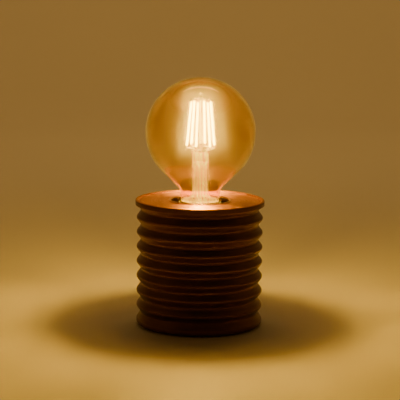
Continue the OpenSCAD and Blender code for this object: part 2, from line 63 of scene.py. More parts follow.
# ---- camera ----
# A long lens a little over a metre in front of the lamp, looking slightly down on its top plate,
# and held very slightly off level.
camera_data = bpy.data.cameras.new("long_lens")
camera_data.lens = 137.5
camera = bpy.data.objects.new("camera", camera_data)
bpy.context.collection.objects.link(camera)
eye_distance, eye_height, look_down, off_level = 1.314, 0.318, 9.0, 0.6
camera.location = (0, -eye_distance, eye_height)
camera.rotation_mode = "QUATERNION"
camera.rotation_quaternion = (
    Matrix.Rotation(math.radians(90 - look_down), 3, "X") @ Matrix.Rotation(math.radians(off_level), 3, "Z")
).to_quaternion()
bpy.context.scene.camera = camera

# ---- studio floor and backdrop ----
# One pale sheet of painted board: flat under the lamp, then swept up all round into a low wall,
# so that every side of the lamp is seen against the same plain ground.


def add_node(tree, kind, sockets=None, **settings):
    """A shader node with its settings, and with values or links on its inputs."""
    node = tree.nodes.new(kind)
    for key, value in settings.items():
        setattr(node, key, value)
    for key, value in (sockets or {}).items():
        if isinstance(value, bpy.types.NodeSocket):
            tree.links.new(value, node.inputs[key])
        else:
            node.inputs[key].default_value = value
    return node


def mixed(tree, share, first, second):
    """A colour part of the way from the first to the second."""
    node = add_node(tree, "ShaderNodeMix", data_type="RGBA")
    for index, value in ((0, share), (6, first), (7, second)):
        if isinstance(value, bpy.types.NodeSocket):
            tree.links.new(value, node.inputs[index])
        else:
            node.inputs[index].default_value = (*value, 1) if index else value
    return node.outputs[2]


def new_material(name):
    """An empty material with its Principled shader: the tree and the shader."""
    material = bpy.data.materials.new(name)
    material.use_nodes = True
    return material, material.node_tree, material.node_tree.nodes["Principled BSDF"]


def noise(tree, where, scale, detail=3.0):
    """Soft noise from 0 to 1 over the surface."""
    node = add_node(tree, "ShaderNodeTexNoise", {"Vector": where, "Scale": scale, "Detail": detail})
    return node.outputs["Fac"]


def painted_board():
    """Pale board with a faintly cloudy coat of matt paint."""
    material, tree, shader = new_material("painted_board")
    where = add_node(tree, "ShaderNodeTexCoord").outputs["Object"]
    cloud = noise(tree, where, 1.5, 2)
    paint = mixed(tree, cloud, (0.66, 0.58, 0.47), (0.72, 0.64, 0.53))
    tree.links.new(paint, shader.inputs["Base Color"])
    shader.inputs["Roughness"].default_value = 0.62
    shader.inputs["Specular IOR Level"].default_value = 0.3
    return material


floor_flat, sweep, wall_top, floor_steps = 1.7, 1.1, 2.6, 96
profile = [(0.001, 0.0), (floor_flat * 0.5, 0.0), (floor_flat, 0.0)]
profile += [
    (floor_flat + sweep * math.sin(math.radians(a)), sweep * (1 - math.cos(math.radians(a))))
    for a in range(5, 91, 5)
]
profile.append((floor_flat + sweep, wall_top))
floor_mesh = bpy.data.meshes.new("studio_floor")
floor_points = [
    (r * math.cos(math.tau * i / floor_steps), r * math.sin(math.tau * i / floor_steps), z)
    for r, z in profile
    for i in range(floor_steps)
]
floor_faces = [
    (ring + i, ring + following, ring + floor_steps + following, ring + floor_steps + i)
    for ring in range(0, (len(profile) - 1) * floor_steps, floor_steps)
    for i, following in zip(range(floor_steps), [*range(1, floor_steps), 0])
]
floor_mesh.from_pydata(floor_points, [], [tuple(range(floor_steps - 1, -1, -1)), *floor_faces])
floor_mesh.polygons.foreach_set("use_smooth", [True] * len(floor_mesh.polygons))
floor_mesh.materials.append(painted_board())
studio_floor = bpy.data.objects.new("studio_floor", floor_mesh)
bpy.context.collection.objects.link(studio_floor)

# ---- studio light ----
# Three large soft lamps round the object, a fourth on the backdrop, and a dim room. All are kept
# low so that the lit bulb still shows on its plate and on the floor round it.


def soft_lamp(name, place, size, power, colour, target=(lamp_low + lamp_high) / 2):
    """A square soft light that faces the middle of the object, or another target."""
    data = bpy.data.lights.new(name, "AREA")
    data.size, data.energy, data.color = size, power, colour
    lamp = bpy.data.objects.new(name, data)
    bpy.context.collection.objects.link(lamp)
    lamp.location = place
    aim = Vector(target) - Vector(place)
    lamp.rotation_euler = aim.to_track_quat("-Z", "Y").to_euler()


warm_light = (1.0, 0.62, 0.20)
soft_lamp("overhead_light", (-0.3, 0.5, 2.3), 2.4, 0.9, warm_light)
soft_lamp("left_light", (-2.0, -0.6, 1.2), 1.8, 0.9, warm_light)
soft_lamp("right_light", (2.0, 0.2, 1.2), 1.8, 0.9, warm_light)
soft_lamp("backdrop_light", (0, 0.8, 1.9), 1.2, 16.0, warm_light, (0, 2.6, 0.6))
world = bpy.data.worlds.new("dim_room")
world.use_nodes = True
world.node_tree.nodes["Background"].inputs["Color"].default_value = (*warm_light, 1)
world.node_tree.nodes["Background"].inputs["Strength"].default_value = 0.02
bpy.context.scene.world = world

# ---- rubber foot pad ----
# A die-cut disc of black rubber glued under the base plate. Its edge is rounded, and its underside
# has moulded rings that keep the lamp from sliding.
MM = 0.001


def arc(r, z, radius, start, end, steps=8):
    """Points of a round stretch of an outline, about (r, z), from one angle to another in degrees."""
    turns = [math.radians(start + (end - start) * i / steps) for i in range(steps + 1)]
    return [(r + radius * math.cos(a), z + radius * math.sin(a)) for a in turns]


def skin(name, rings, closed=False, sharp=38):
    """A smooth skin over rings of points in millimetres. A closed skin returns to its first ring."""
    count = len(rings[0])
    spans = len(rings) if closed else len(rings) - 1
    faces = []
    for i in range(spans):
        low, high = i * count, (i + 1) % len(rings) * count
        faces += [(low + j, low + (j + 1) % count, high + (j + 1) % count, high + j) for j in range(count)]
    mesh = bpy.data.meshes.new(name)
    mesh.from_pydata([Vector(p) * MM for ring in rings for p in ring], [], faces)
    shell = bmesh.new()
    shell.from_mesh(mesh)
    bmesh.ops.remove_doubles(shell, verts=shell.verts, dist=1e-7)
    bmesh.ops.delete(shell, geom=[e for e in shell.edges if not e.link_faces], context="EDGES")
    bmesh.ops.recalc_face_normals(shell, faces=shell.faces)
    shell.to_mesh(mesh)
    shell.free()
    mesh.polygons.foreach_set("use_smooth", [True] * len(mesh.polygons))
    mesh.set_sharp_from_angle(angle=math.radians(sharp))
    piece = bpy.data.objects.new(name, mesh)
    bpy.context.collection.objects.link(piece)
    return piece


def lathe(name, outline, steps=160, sharp=38):
    """A piece turned about the lamp's axis from an outline of (radius, height) points."""
    turns = [math.tau * i / steps for i in range(steps)]
    rings = [[(r * math.cos(a), r * math.sin(a), z) for a in turns] for r, z in outline]
    return skin(name, rings, closed=outline[0][0] > 0, sharp=sharp)


def fit(piece, material, body, slot, *nodes):
    """Gives a piece its material and its body, and hides the CAD nodes that it stands for. The slot is not
    used.
    """
    piece.data.materials.clear()
    piece.data.materials.append(material)
    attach(piece, body)
    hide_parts(*nodes)
    return piece


def effect(name, inputs, outputs):
    """A new shared effect: its node group, the group's input node and its output node."""
    group = bpy.data.node_groups.new(name, "ShaderNodeTree")
    for label, value in inputs:
        socket = group.interface.new_socket(label, in_out="INPUT", socket_type="NodeSocketFloat")
        socket.default_value = value
    for label in outputs:
        group.interface.new_socket(label, in_out="OUTPUT", socket_type="NodeSocketFloat")
    return group, group.nodes.new("NodeGroupInput"), group.nodes.new("NodeGroupOutput")


def use_effect(tree, group, **values):
    """Places a shared effect in a material with that material's own values."""
    node = add_node(tree, "ShaderNodeGroup", node_tree=group)
    for key, value in values.items():
        node.inputs[key].default_value = value
    return node


def calc(tree, operation, *values):
    """The result of one sum on shader values."""
    return add_node(tree, "ShaderNodeMath", dict(enumerate(values)), operation=operation).outputs[0]


def between(tree, share, low, high):
    """A value that runs from low to high as share runs from 0 to 1."""
    node = add_node(tree, "ShaderNodeMapRange", {"Value": share, "To Min": low, "To Max": high})
    return node.outputs["Result"]


def stretched(tree, value, low, high):
    """A mask from 0 to 1 as a value runs from low to high."""
    node = add_node(tree, "ShaderNodeMapRange", {"Value": value, "From Min": low, "From Max": high})
    return node.outputs["Result"]


def mottling_effect():
    """Uneven colour and shine, as every worked or moulded surface has."""
    group, given, wanted = effect("mottling", [("Fineness", 90.0)], ["Mask"])
    where = add_node(group, "ShaderNodeTexCoord").outputs["Object"]
    broad = noise(group, where, 14, 2)
    close = noise(group, where, given.outputs["Fineness"], 5)
    both = calc(group, "ADD", calc(group, "MULTIPLY", broad, 0.45), calc(group, "MULTIPLY", close, 0.55))
    group.links.new(stretched(group, both, 0.34, 0.66), wanted.inputs["Mask"])
    return group


def skin_effect():
    """The fine pitted skin of moulded, cast or plated parts, as a height."""
    group, given, wanted = effect("fine_skin", [("Fineness", 900.0)], ["Height"])
    where = add_node(group, "ShaderNodeTexCoord").outputs["Object"]
    pits = noise(group, where, given.outputs["Fineness"], 3)
    waves = noise(group, where, calc(group, "MULTIPLY", given.outputs["Fineness"], 0.18), 2)
    height = calc(group, "ADD", calc(group, "MULTIPLY", pits, 0.6), waves)
    group.links.new(height, wanted.inputs["Height"])
    return group


def wear_effect():
    """Edges rubbed bare by handling: 1 on raised edges, broken up by noise."""
    group, given, wanted = effect("edge_wear", [("Amount", 0.5)], ["Mask"])
    raised = add_node(group, "ShaderNodeNewGeometry").outputs["Pointiness"]
    edge = stretched(group, raised, 0.515, 0.60)
    where = add_node(group, "ShaderNodeTexCoord").outputs["Object"]
    mask = calc(group, "MULTIPLY", edge, stretched(group, noise(group, where, 240, 5), 0.38, 0.62))
    group.links.new(calc(group, "MULTIPLY", mask, given.outputs["Amount"]), wanted.inputs["Mask"])
    return group


def dust_effect():
    """Dust that settles on what faces up."""
    group, given, wanted = effect("settled_dust", [("Amount", 0.3)], ["Mask"])
    facing = add_node(group, "ShaderNodeNewGeometry").outputs["Normal"]
    up = add_node(group, "ShaderNodeSeparateXYZ", {"Vector": facing}).outputs["Z"]
    level = stretched(group, up, 0.35, 0.95)
    where = add_node(group, "ShaderNodeTexCoord").outputs["Object"]
    mask = calc(group, "MULTIPLY", level, stretched(group, noise(group, where, 420, 6), 0.42, 0.72))
    group.links.new(calc(group, "MULTIPLY", mask, given.outputs["Amount"]), wanted.inputs["Mask"])
    return group


mottling, fine_skin = mottling_effect(), skin_effect()
edge_wear, settled_dust = wear_effect(), dust_effect()
DUST = (0.42, 0.36, 0.29)


def worked_finish(name, colour, second, metallic, roughness, fineness=900.0, depth=0.05, worn=None, dust=0.0):
    """A solid material with uneven colour and shine, a fine skin, worn edges and dust."""
    material, tree, shader = new_material(name)
    uneven = use_effect(tree, mottling, Fineness=fineness * 0.12).outputs["Mask"]
    tone = mixed(tree, uneven, colour, second)
    if worn:
        tone = mixed(tree, use_effect(tree, edge_wear, Amount=0.8).outputs["Mask"], tone, worn)
    shine = between(tree, uneven, max(roughness - 0.07, 0.03), min(roughness + 0.09, 1))
    if dust:
        film = use_effect(tree, settled_dust, Amount=dust).outputs["Mask"]
        tone = mixed(tree, film, tone, DUST)
        shine = calc(tree, "ADD", shine, calc(tree, "MULTIPLY", film, 0.4))
    height = use_effect(tree, fine_skin, Fineness=fineness).outputs["Height"]
    bump = add_node(tree, "ShaderNodeBump", {"Height": height, "Strength": 0.6, "Distance": depth * MM})
    tree.links.new(tone, shader.inputs["Base Color"])
    tree.links.new(shine, shader.inputs["Roughness"])
    tree.links.new(bump.outputs["Normal"], shader.inputs["Normal"])
    shader.inputs["Metallic"].default_value = metallic
    return material


black_rubber = worked_finish(
    "black_rubber", (0.016, 0.015, 0.014), (0.028, 0.026, 0.024), 0, 0.72, 1400, 0.08, dust=0.25
)
pad_r, pad_top, ring_gap, ring_deep = 41.5, 2.2, 5.0, 0.5
underside = [(0, 0)]
for k in range(1, 8):
    r = k * ring_gap
    underside += [(r - 0.9, 0), (r - 0.6, ring_deep), (r + 0.6, ring_deep), (r + 0.9, 0)]
pad_outline = underside + arc(pad_r - 0.6, 0.6, 0.6, -90, 0)
pad_outline += arc(pad_r - 0.25, pad_top - 0.25, 0.25, 0, 90, 3) + [(0, pad_top)]
fit(lathe("foot_pad_rubber", pad_outline), black_rubber, "base", "black_rubber", "foot_pad")

# ---- base plate, weight and their screws ----
# A zinc-plated steel disc closes the foot, with an iron weight cast and bolted on top of it.
# Three welded angles inside the sleeve take the screws that hold the plate.


def coat(material, *names):
    """Gives CAD nodes, whose shapes are right already, a finished material."""
    for name in names:
        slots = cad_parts[name].data.materials
        if not slots:
            slots.append(material)
        for index in range(len(slots)):
            slots[index] = material


zinc = worked_finish(
    "zinc_plating", (0.46, 0.46, 0.45), (0.60, 0.60, 0.58), 1, 0.34, 1600, 0.02, (0.72, 0.72, 0.70), 0.1
)
iron = worked_finish(
    "cast_iron", (0.085, 0.082, 0.080), (0.14, 0.135, 0.13), 0.6, 0.62, 500, 0.25, (0.22, 0.21, 0.20), 0.2
)
coat(zinc, "base_plate", "weight_screws", "sleeve_tabs", "tab_screws")
coat(iron, "cast_weight")

# ---- bracket and threaded tube ----
# A folded strip of plated steel stands on the weight. A hollow brass tube, a toothed washer and a
# nut fix the lampholder on top of it, and the wires run up through the tube.
brass = worked_finish(
    "turned_brass", (0.62, 0.43, 0.17), (0.76, 0.56, 0.26), 1, 0.27, 1200, 0.015, (0.85, 0.68, 0.38)
)
coat(zinc, "holder_bracket", "bracket_screws", "toothed_washer")
coat(brass, "threaded_tube", "tube_nut")

# ---- terminal block and wires ----
# The mains wires end in a three-way moulded block with brass tubes and clamp screws. Live and
# neutral run up to the lampholder, and the earth wire to a tag on the weight.


def extruded_cover(name, colour, stripe=None):
    """Soft PVC insulation, faintly drawn out along its length, with a second colour on an earth wire."""
    material, tree, shader = new_material(name)
    where = add_node(tree, "ShaderNodeTexCoord").outputs["Object"]
    uneven = use_effect(tree, mottling, Fineness=60.0).outputs["Mask"]
    tone = mixed(tree, uneven, tuple(0.85 * c for c in colour), colour)
    if stripe:
        facing = add_node(tree, "ShaderNodeNewGeometry").outputs["Normal"]
        side = add_node(tree, "ShaderNodeSeparateXYZ", {"Vector": facing})
        tone = mixed(tree, calc(tree, "GREATER_THAN", side.outputs["X"], 0.1), tone, stripe)
    drawn = noise(tree, where, 1800, 2)
    bump = add_node(tree, "ShaderNodeBump", {"Height": drawn, "Strength": 0.4, "Distance": 0.02 * MM})
    tree.links.new(tone, shader.inputs["Base Color"])
    tree.links.new(between(tree, uneven, 0.36, 0.48), shader.inputs["Roughness"])
    tree.links.new(bump.outputs["Normal"], shader.inputs["Normal"])
    return material


ivory = worked_finish("ivory_plastic", (0.72, 0.68, 0.58), (0.79, 0.76, 0.68), 0, 0.42, 1100, 0.04, dust=0.1)
tinned = worked_finish("tinned_wire", (0.56, 0.54, 0.50), (0.70, 0.68, 0.63), 1, 0.26, 1500, 0.01)
coat(ivory, "terminal_block")
coat(brass, "terminal_tubes", "earth_screw")
coat(zinc, "block_screws")
coat(extruded_cover("brown_cover", (0.20, 0.08, 0.04)), "live_wire")
coat(extruded_cover("blue_cover", (0.05, 0.16, 0.45)), "neutral_wire")
coat(extruded_cover("earth_cover", (0.20, 0.42, 0.05), (0.75, 0.65, 0.06)), "earth_wire")
coat(tinned, "earth_tag")

# ---- lampholder ----
# A black phenolic dome screws onto the tube. The ceramic core stands in it with the contact strips,
# and the skirt closes round the nickel-plated threaded sleeve that takes the bulb's cap.
phenolic = worked_finish(
    "black_phenolic", (0.014, 0.013, 0.012), (0.026, 0.023, 0.021), 0, 0.36, 1300, 0.03,
    worn=(0.06, 0.055, 0.05), dust=0.3,
)
steatite = worked_finish("steatite", (0.74, 0.71, 0.64), (0.84, 0.81, 0.74), 0, 0.55, 1500, 0.06)
nickel = worked_finish(
    "nickel_plating", (0.56, 0.53, 0.48), (0.70, 0.67, 0.61), 1, 0.22, 1300, 0.012, (0.80, 0.78, 0.73)
)

dome_outline = [(5.05, 45.5), (9.0, 45.5), (9.5, 46.0), (9.5, 50.5)]
dome_outline += arc(10.4, 50.6, 0.9, 180, 118, 4) + arc(12.2, 60.6, 7.3, -62, 0, 12)
dome_outline += [(19.5, 63.6), (19.2, 63.9), (16.9, 63.9), (16.9, 67.8), (14.6, 67.8), (14.6, 59.6)]
dome_outline += arc(8.0, 59.4, 6.4, 0, -70, 8) + [(5.05, 52.1)]
fit(lathe("holder_dome_shell", dome_outline, 128), phenolic, "base", "black_holder", "holder_dome")

skirt_outline = [(17.0, 64.0), (19.2, 64.0), (19.5, 64.3)]
grips, grip_low, grip_pitch = 9, 68.0, 2.0
for k in range(grips):
    z = grip_low + k * grip_pitch
    skirt_outline += [(19.5, z), (19.15, z + 0.35), (19.15, z + 0.75), (19.5, z + 1.1)]
skirt_outline += arc(18.3, 99.2, 1.2, 0, 90) + arc(15.3, 100.0, 0.4, 90, 180, 4)
skirt_outline += [(14.9, 79.45), (17.0, 79.45)]
fit(lathe("holder_skirt_shell", skirt_outline), phenolic, "base", "black_holder", "holder_skirt")

thread_pitch, thread_deep, thread_foot = 3.629, 1.05, 76.8


def thread_rings(low, high, middle, side, around=96, per_turn=14):
    """Rings of a rolled right-hand thread that runs out at both ends: to its root on the bulb's cap
    (side -1), and to its widest in the lampholder (side 1)."""
    rows = math.ceil((high - low) / thread_pitch * per_turn)
    rings = []
    for row in range(rows + 1):
        z = low + (high - low) * row / rows
        full = max(0, min(1, (z - low) / 1.2, (high - z) / 1.2))
        lead = math.tau * (z - thread_foot) / thread_pitch
        ring = []
        for j in range(around):
            a = math.tau * j / around
            r = middle + thread_deep / 2 * (full * math.cos(lead - a) + side * (1 - full))
            ring.append((r * math.cos(a), r * math.sin(a), z))
        rings.append(ring)
    return rings


def plain_ring(r, z, around=96):
    """A ring of points at one height."""
    turns = [math.tau * j / around for j in range(around)]
    return [(r * math.cos(a), r * math.sin(a), z) for a in turns]


sleeve_rings = thread_rings(80.0, 99.4, 12.975, 1)
sleeve_rings += [plain_ring(r, z) for r, z in arc(14.1, 99.2, 0.6, 180, 0, 6)]
sleeve_rings += [plain_ring(r, z) for r, z in ((14.7, 79.4), (16.6, 79.4), (16.6, 78.65), (12.975, 78.65))]
fit(skin("holder_threaded_sleeve", sleeve_rings, True), nickel, "base", "nickel_sleeve", "holder_thread")
coat(steatite, "holder_core")
coat(brass, "live_strip", "neutral_strip", "holder_screws")

# ---- sprung centre contact ----
# A riveted brass plunger slides in the core and presses on the bulb's contact. A steel clip keeps
# it in, and a short coil spring of drawn wire pushes it up.


def wires(name, routes, radius, ring=False):
    """Round wires of one radius, each through its own points in millimetres, as one mesh."""
    curve = bpy.data.curves.new(name, "CURVE")
    curve.dimensions = "3D"
    curve.bevel_depth, curve.bevel_resolution, curve.resolution_u = radius * MM, 4, 6
    curve.use_fill_caps = True
    for points in routes:
        spline = curve.splines.new("BEZIER")
        spline.bezier_points.add(len(points) - 1)
        for knot, place in zip(spline.bezier_points, points):
            knot.co = Vector(place) * MM
            knot.handle_left_type = knot.handle_right_type = "AUTO"
        spline.use_cyclic_u = ring
    drawn = bpy.data.objects.new(name + "_route", curve)
    bpy.context.collection.objects.link(drawn)
    mesh = bpy.data.meshes.new_from_object(drawn.evaluated_get(bpy.context.evaluated_depsgraph_get()))
    bpy.data.objects.remove(drawn)
    mesh.name = name
    mesh.polygons.foreach_set("use_smooth", [True] * len(mesh.polygons))
    mesh.set_sharp_from_angle(angle=math.radians(50))
    piece = bpy.data.objects.new(name, mesh)
    bpy.context.collection.objects.link(piece)
    return piece


spring_steel = worked_finish("spring_steel", (0.48, 0.48, 0.48), (0.62, 0.62, 0.62), 1, 0.24, 1500, 0.01)
coil_r, coil_wire, coil_turns, coil_low, coil_high = 3.35, 0.37, 4, 70.55, 74.55
coil = [
    (
        coil_r * math.cos(math.radians(30 * i)),
        coil_r * math.sin(math.radians(30 * i)),
        coil_low + (coil_high - coil_low) * i / (12 * coil_turns),
    )
    for i in range(12 * coil_turns + 1)
]
spring = wires("contact_spring", [coil], coil_wire)
fit(spring, spring_steel, "plunger", "spring_steel", "plunger_spring")
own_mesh(spring)
rivet = [(0, 66.2), (1.9, 66.2), (2.2, 66.5), (2.2, 75.0), (3.6, 75.0)]
rivet += arc(3.7, 75.3, 0.3, -90, 0, 3) + arc(3.3, 76.1, 0.7, 0, 90, 5)
rivet += [(1.4, 76.8), (0.9, 76.6), (0, 76.6)]
fit(lathe("contact_rivet", rivet, 64), brass, "plunger", "plain_brass", "contact_plunger")
coat(zinc, "plunger_clip")

# ---- ribbed sleeve ----
# Thin steel spun and rolled into a rounded foot band and seven round ribs, like the screw of a
# giant lamp cap, then plated and lacquered a dark copper-brown. The cable's rubber bush sits in a
# hole low at the rear.


def spun_effect():
    """Fine rings left by spinning and brushing: a height, and a mask of lighter streaks."""
    group, given, wanted = effect("spun_marks", [("Fineness", 420.0)], ["Height", "Streaks"])
    where = add_node(group, "ShaderNodeTexCoord").outputs["Object"]
    place = add_node(group, "ShaderNodeSeparateXYZ", {"Vector": where}).outputs
    flat = add_node(group, "ShaderNodeCombineXYZ", {"X": place["X"], "Y": place["Y"]}).outputs[0]
    radius = add_node(group, "ShaderNodeVectorMath", {0: flat}, operation="LENGTH").outputs["Value"]
    drift = calc(group, "MULTIPLY", noise(group, where, 9, 1), 0.0006)
    outward = calc(group, "ADD", radius, drift)
    across = add_node(group, "ShaderNodeCombineXYZ", {"X": outward, "Y": 0.0, "Z": place["Z"]}).outputs[0]
    lines = noise(group, across, given.outputs["Fineness"], 5)
    broad = noise(group, where, 22, 3)
    group.links.new(lines, wanted.inputs["Height"])
    streaks = calc(group, "MULTIPLY", stretched(group, lines, 0.40, 0.68), broad)
    group.links.new(streaks, wanted.inputs["Streaks"])
    return group


spun_marks = spun_effect()


def spun_finish(name, colour, streak, worn, roughness, fineness, spread, dust, lacquer):
    """Spun and brushed sheet metal: rings of fine marks that draw the shine out across them."""
    material, tree, shader = new_material(name)
    marks = use_effect(tree, spun_marks, Fineness=fineness).outputs
    uneven = use_effect(tree, mottling, Fineness=40.0).outputs["Mask"]
    tone = mixed(tree, uneven, tuple(0.86 * c for c in colour), colour)
    tone = mixed(tree, marks["Streaks"], tone, streak)
    tone = mixed(tree, use_effect(tree, edge_wear, Amount=0.55).outputs["Mask"], tone, worn)
    film = use_effect(tree, settled_dust, Amount=dust).outputs["Mask"]
    tone = mixed(tree, film, tone, DUST)
    brushed = between(tree, marks["Streaks"], roughness + 0.04, roughness - 0.06)
    shine = calc(tree, "ADD", brushed, calc(tree, "MULTIPLY", film, 0.3))
    relief = {"Height": marks["Height"], "Strength": 0.35, "Distance": 0.03 * MM}
    bump = add_node(tree, "ShaderNodeBump", relief)
    round_axis = add_node(tree, "ShaderNodeTangent", direction_type="RADIAL", axis="Z")
    tree.links.new(tone, shader.inputs["Base Color"])
    tree.links.new(shine, shader.inputs["Roughness"])
    tree.links.new(bump.outputs["Normal"], shader.inputs["Normal"])
    tree.links.new(round_axis.outputs["Tangent"], shader.inputs["Tangent"])
    shader.inputs["Metallic"].default_value = 1.0
    shader.inputs["Anisotropic"].default_value = spread
    shader.inputs["Anisotropic Rotation"].default_value = 0.25
    shader.inputs["Coat Weight"].default_value = lacquer
    shader.inputs["Coat Roughness"].default_value = 0.35
    return material


bronzed = spun_finish(
    "bronzed_lacquer", (0.15, 0.060, 0.026), (0.22, 0.094, 0.043), (0.40, 0.18, 0.085),
    0.42, 420, 0.45, 0.08, 0.12,
)
crest_r, rib_pitch, rib_round, rib_flank, foot_z, sheet = 55.0, 12.87, 2.6, 37, 5.0, 0.9
flank_sine, flank_cosine = math.sin(math.radians(rib_flank)), math.cos(math.radians(rib_flank))
flank_run = (rib_pitch / 2 - 2 * rib_round * flank_sine) / flank_cosine
rib_deep = 2 * rib_round * (1 - flank_cosine) + flank_run * flank_sine
groove_r = crest_r - rib_deep
ribs_above_foot, foot_low, sleeve_top_r, seam_low, sleeve_top = 7, 0.8, 55.2, 105.9, 109.7


def sleeve_face(inset):
    """One face of the sheet from the foot to the seam, set in from the outer face."""
    swell, hollow = rib_round - inset, rib_round + inset
    face = arc(crest_r - 3, foot_low + 3, 3 - inset, -80, 0)
    face += arc(crest_r - rib_round, foot_z, swell, 0, rib_flank)
    for k in range(1, ribs_above_foot + 1):
        z = foot_z + k * rib_pitch
        face += arc(groove_r + rib_round, z - rib_pitch / 2, hollow, 180, 180 - rib_flank, 5)
        face += arc(crest_r - rib_round, z, swell, -rib_flank, rib_flank, 10)
        face += arc(groove_r + rib_round, z + rib_pitch / 2, hollow, 180 + rib_flank, 180, 5)
    z = foot_z + (ribs_above_foot + 0.5) * rib_pitch
    face += arc(groove_r + rib_round, z, hollow, 180, 180 - rib_flank, 5)
    return face + [(sleeve_top_r - inset, seam_low + 0.3), (sleeve_top_r - inset, sleeve_top)]


sleeve = lathe("ribbed_sleeve_spun", sleeve_face(0) + sleeve_face(sheet)[::-1], 192, 60)
inlet_z, inlet_hole_r = 24.3, 4.7
drill = lathe("inlet_drill", [(0, 0), (inlet_hole_r, 0), (inlet_hole_r, 30), (0, 30)], 48)
rearward = Matrix.Rotation(math.radians(-90), 4, "X")
drill.data.transform(Matrix.Translation((0, 40 * MM, inlet_z * MM)) @ rearward)
cut = sleeve.modifiers.new("inlet_hole", "BOOLEAN")
cut.object, cut.operation, cut.solver = drill, "DIFFERENCE", "EXACT"
bpy.context.view_layer.update()
drilled = bpy.data.meshes.new_from_object(sleeve.evaluated_get(bpy.context.evaluated_depsgraph_get()))
sleeve.modifiers.clear()
sleeve.data = drilled
bpy.data.objects.remove(drill)
fit(sleeve, bronzed, "base", "bronzed_sleeve", "ribbed_sleeve")

# The bush: a moulded rubber grommet with a rounded lip on each side of the sheet.
bush = [(3.4, 49.3), (4.0, 48.96), (5.6, 48.96)] + arc(5.6, 49.4, 0.4, -90, 90, 6)
bush += [(4.5, 50.1), (4.5, 55.1), (5.4, 55.1)] + arc(5.5, 55.6, 0.5, -90, 90, 8)
bush += [(4.0, 56.1)] + arc(3.9, 55.6, 0.5, 90, 180, 5)
grommet = lathe("inlet_bush", bush, 72)
grommet.data.transform(Matrix.Translation((0, 0, inlet_z * MM)) @ rearward)
fit(grommet, black_rubber, "base", "black_rubber", "inlet_grommet")

# ---- top plate ----
# A pressed copper-coloured disc, brushed in rings on a lathe. Its rim is folded down over the
# sleeve's edge into a round seam, and the seam's outer face is lacquered with the sleeve.
satin_copper = spun_finish(
    "satin_copper", (0.46, 0.19, 0.055), (0.62, 0.29, 0.09), (0.80, 0.45, 0.19), 0.50, 620, 0.86, 0.06, 0.0
)
seam_r, plate_z, seam_top, hole_edge_r = 56.2, 109.4, 110.6, 26.4
plate_outline = [(hole_edge_r, plate_z - sheet), (hole_edge_r, plate_z), (40.0, plate_z), (52.2, plate_z)]
plate_outline += arc(52.6, 110.2, 0.8, -90, -20, 6) + arc(54.4, 109.6, 1.0, 165, 90, 6)
plate_outline += arc(55.2, 109.6, 1.0, 90, 0, 8) + arc(55.6, seam_low + 0.6, 0.6, 0, -90, 6)
plate_outline += [(55.3, seam_low), (55.3, 109.8), (54.2, 109.8), (54.2, plate_z - sheet)]
plate = lathe("top_plate_pressed", plate_outline, 224, 60)
fit(plate, satin_copper, "base", "copper_plate", "top_plate")
plate.data.materials.append(bronzed)
for face in plate.data.polygons:
    middle = face.center
    outer = math.hypot(middle.x, middle.y) > (seam_r - 0.35) * MM
    if outer and middle.z < (seam_top - 0.55) * MM:
        face.material_index = 1

# ---- hole ring ----
# A polished copper-coloured eyelet pressed into the hole. It covers the cut edge, with a thin
# rolled bead round a flat flange and a short collar that goes down inside.
bright_copper = spun_finish(
    "bright_copper", (0.74, 0.42, 0.20), (0.84, 0.54, 0.30), (0.92, 0.66, 0.42), 0.20, 900, 0.3, 0.05, 0.0
)
ring_outline = [(25.1, 106.5), (25.3, 106.4), (26.1, 106.4), (26.3, 106.6), (26.3, 109.45), (27.6, 109.45)]
ring_outline += arc(27.45, 109.7, 0.25, -60, 90, 5) + arc(26.3, 110.0, 0.62, 8, 172, 10) + [(25.3, 109.9)]
ring_outline += arc(25.4, 109.6, 0.3, 120, 180, 4)
fit(lathe("hole_eyelet", ring_outline, 192), bright_copper, "base", "bright_copper", "hole_ring")

# ---- bulb cap ----
# The brass centre contact is riveted through a black glass insulator, and the nickel-plated shell
# is rolled with the screw thread and crimped round the collar.
black_glass = worked_finish("black_glass", (0.010, 0.010, 0.013), (0.018, 0.018, 0.022), 0, 0.10, 700, 0.01)
contact_outline = [(0, 76.8), (3.1, 76.8)] + arc(3.5, 77.5, 0.7, -90, 0, 5)
contact_outline += [(4.4, 77.6), (4.4, 78.1), (2.2, 78.2), (2.2, 79.8), (0, 79.8)]
fit(lathe("bulb_contact", contact_outline, 64), brass, "bulb_tip", "plain_brass", "cap_contact")
bead = [(2.3, 78.25), (4.8, 78.25)] + arc(5.2, 83.8, 5.5, -80, -10, 8)
bead += [(11.0, 82.9), (11.0, 84.2), (8, 84.2), (2.3, 80.4)]
fit(lathe("bulb_insulator", bead, 96), black_glass, "bulb", "black_glass", "cap_insulator")
shell_rings = [plain_ring(r, z) for r, z in ((11.2, 82.6), (11.45, 82.62), (11.62, 82.9))]
shell_rings += thread_rings(83.3, 100.0, 12.575, -1)
crimp = ((12.8, 100.3), (13.0, 100.6), (13.0, 102.7), (12.8, 103.0), (11.4, 103.0))
shell_rings += [plain_ring(r, z) for r, z in crimp]
fit(skin("bulb_cap_shell", shell_rings, True), nickel, "bulb", "nickel_sleeve", "cap_shell")

# ---- driver and radio ----
# A narrow circuit board stands in the cap with the capacitor, choke, rectifier and chip that feed
# the filaments. A small radio board with its tin shield stands beside it.


